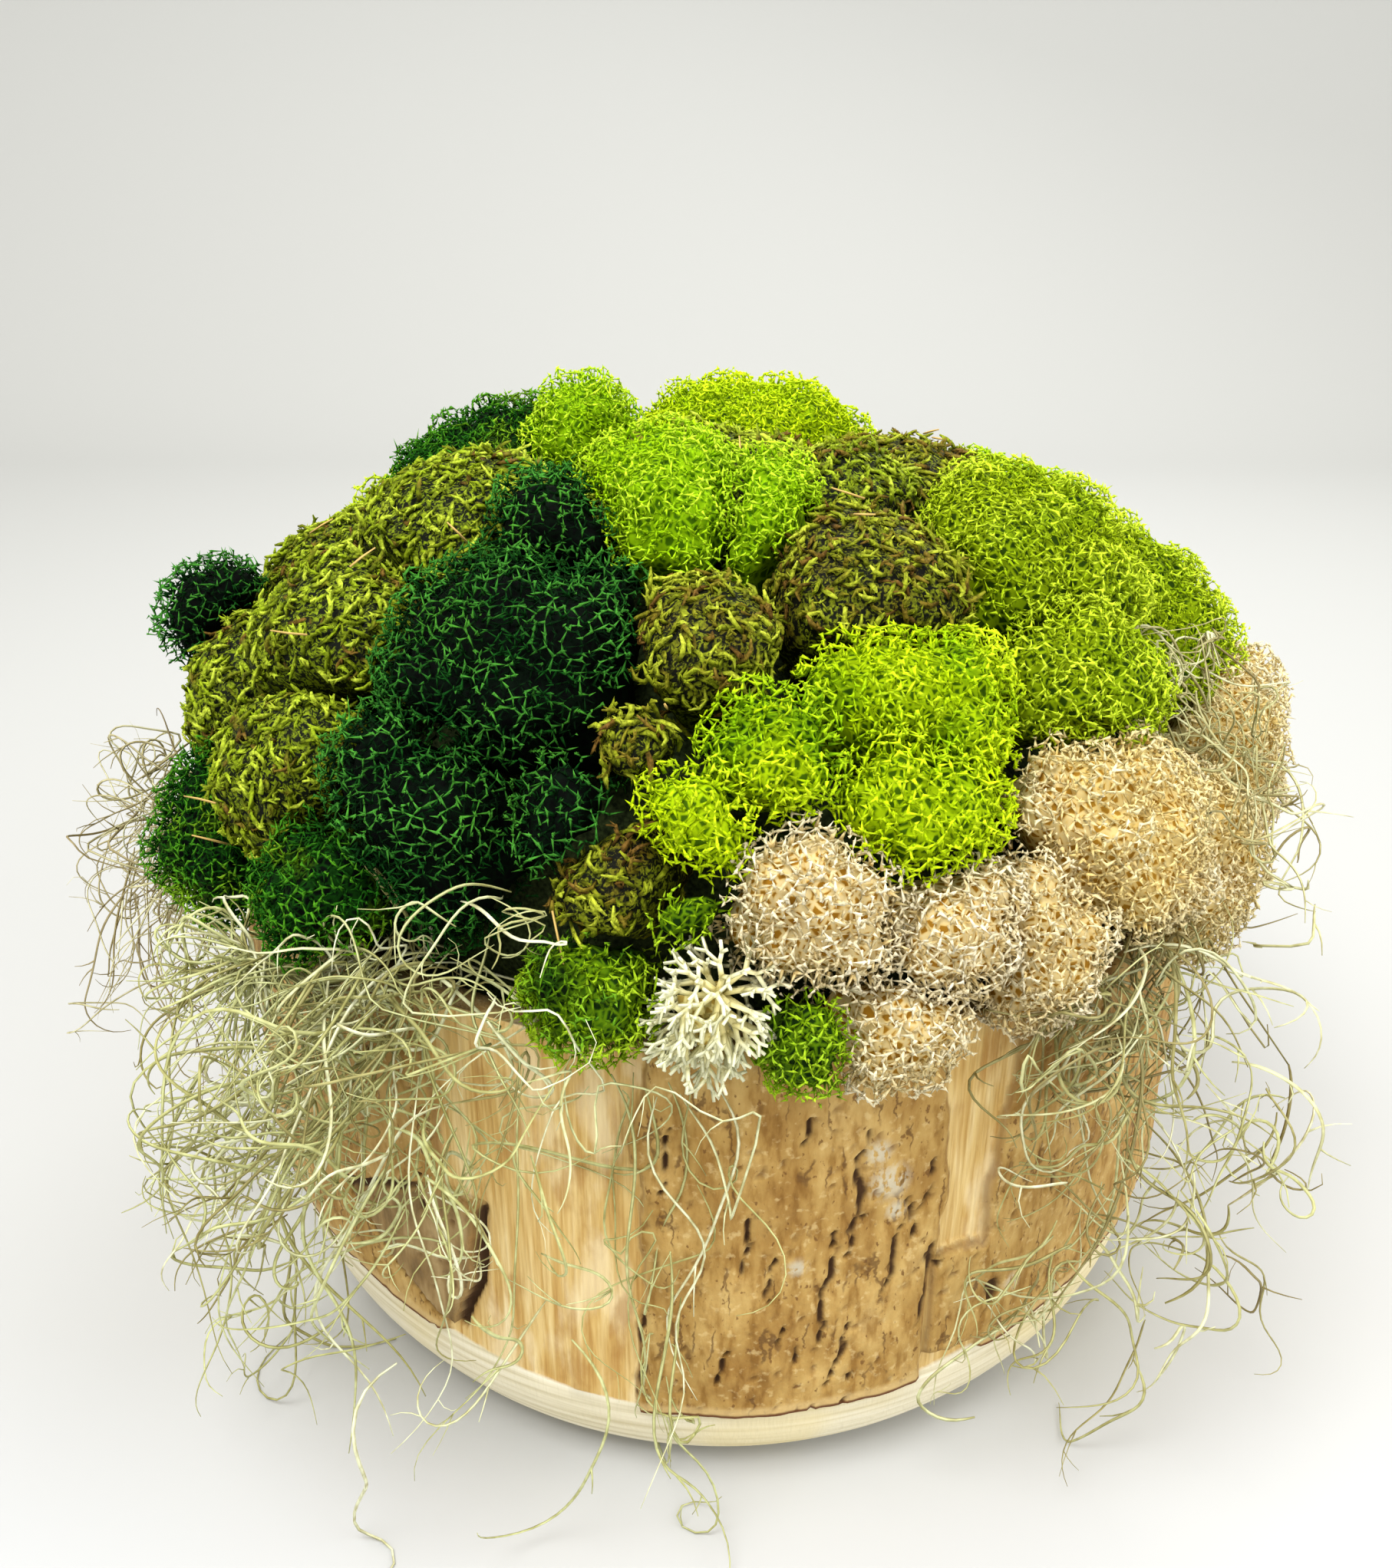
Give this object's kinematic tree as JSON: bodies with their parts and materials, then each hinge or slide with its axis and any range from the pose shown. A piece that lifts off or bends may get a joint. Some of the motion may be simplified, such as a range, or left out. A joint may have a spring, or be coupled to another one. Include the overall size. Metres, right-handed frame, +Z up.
{
  "type": "moss bowl garden",
  "caption": "Mound of preserved reindeer, sheet and Spanish mosses on dry foam, set in a bowl turned from one log with its bark left on.",
  "frame": {"origin": "centre of the bowl's flat foot, on the surface that it stands on", "axes": "+Z up along the bowl's axis; -Y is the front, which the picture shows; +X is the viewer's right"},
  "size_m": [0.3436, 0.3474, 0.2594],
  "materials": {
    "log_bowl": "raw bark outside, with bare sapwood where the bark has come off and a turned, unfinished underside; matt",
    "dry_foam": "dry floral foam, matt, hidden under the moss",
    "moss_forest": "preserved reindeer moss, deep forest green, matt",
    "moss_green": "preserved reindeer moss, mid green, matt",
    "moss_lime": "preserved reindeer moss, lime green, matt",
    "moss_olive": "preserved reindeer moss, olive lime, matt",
    "moss_chartreuse": "preserved reindeer moss, chartreuse, matt",
    "sheet_moss": "preserved sheet moss, yellow green with brown stems, matt",
    "sheet_moss_brown": "preserved sheet moss, brownish green, matt",
    "moss_tan": "natural undyed reindeer moss, tan, matt",
    "moss_cream": "natural undyed reindeer moss, bleached cream, matt",
    "spanish_moss": "dried spanish moss, pale grey green wiry strands, matt"
  },
  "bodies": {
    "root": {"bowl": "log_bowl", "foam_core": "dry_foam", "moss_forest_crown": "moss_forest", "moss_forest_main": "moss_forest", "moss_forest_low": "moss_forest", "moss_forest_patch": "moss_forest", "moss_green_left": "moss_green", "moss_green_left_end": "moss_green", "moss_tuft_left": "moss_forest", "sheet_moss_left_top": "sheet_moss", "sheet_moss_left_middle": "sheet_moss", "sheet_moss_left_low": "sheet_moss", "sheet_moss_left_edge": "sheet_moss", "moss_lime_ball": "moss_lime", "moss_lime_top": "moss_lime", "moss_green_top": "moss_lime", "sheet_moss_centre_right": "sheet_moss_brown", "sheet_moss_centre_left": "sheet_moss_brown", "moss_olive_top": "moss_olive", "moss_olive_side": "moss_olive", "moss_chartreuse_top": "moss_chartreuse", "moss_chartreuse_middle": "moss_chartreuse", "moss_chartreuse_low": "moss_chartreuse", "moss_chartreuse_left": "moss_chartreuse", "sheet_moss_middle_top": "sheet_moss_brown", "sheet_moss_middle": "sheet_moss_brown", "moss_tan_left": "moss_tan", "moss_tan_middle": "moss_tan", "moss_tan_lip": "moss_tan", "moss_tan_right": "moss_tan", "moss_tan_right_low": "moss_tan", "moss_tan_right_edge": "moss_tan", "moss_cream": "moss_cream", "moss_green_front": "moss_green", "moss_green_strip": "moss_green", "moss_green_lip": "moss_green", "sheet_moss_left_side": "sheet_moss", "moss_olive_back": "moss_olive", "moss_tan_back_right": "moss_tan", "moss_forest_back_right": "moss_forest", "sheet_moss_back_right": "sheet_moss", "moss_chartreuse_back": "moss_chartreuse", "moss_green_back": "moss_green", "moss_tan_back_left": "moss_tan", "sheet_moss_back_left": "sheet_moss_brown", "moss_lime_back_right": "moss_lime", "moss_tan_back": "moss_tan", "moss_forest_back": "moss_forest", "moss_olive_back_left": "moss_olive", "sheet_moss_crown_right": "sheet_moss_brown", "sheet_moss_crown_front": "sheet_moss", "moss_chartreuse_crown": "moss_chartreuse", "moss_forest_crown_left": "moss_green", "sheet_moss_crown": "sheet_moss", "spanish_moss_left": "spanish_moss", "spanish_moss_left_back": "spanish_moss", "spanish_moss_right_back": "spanish_moss", "spanish_moss_right": "spanish_moss", "spanish_moss_front": "spanish_moss", "spanish_moss_back": "spanish_moss"}
  },
  "joints": []
}
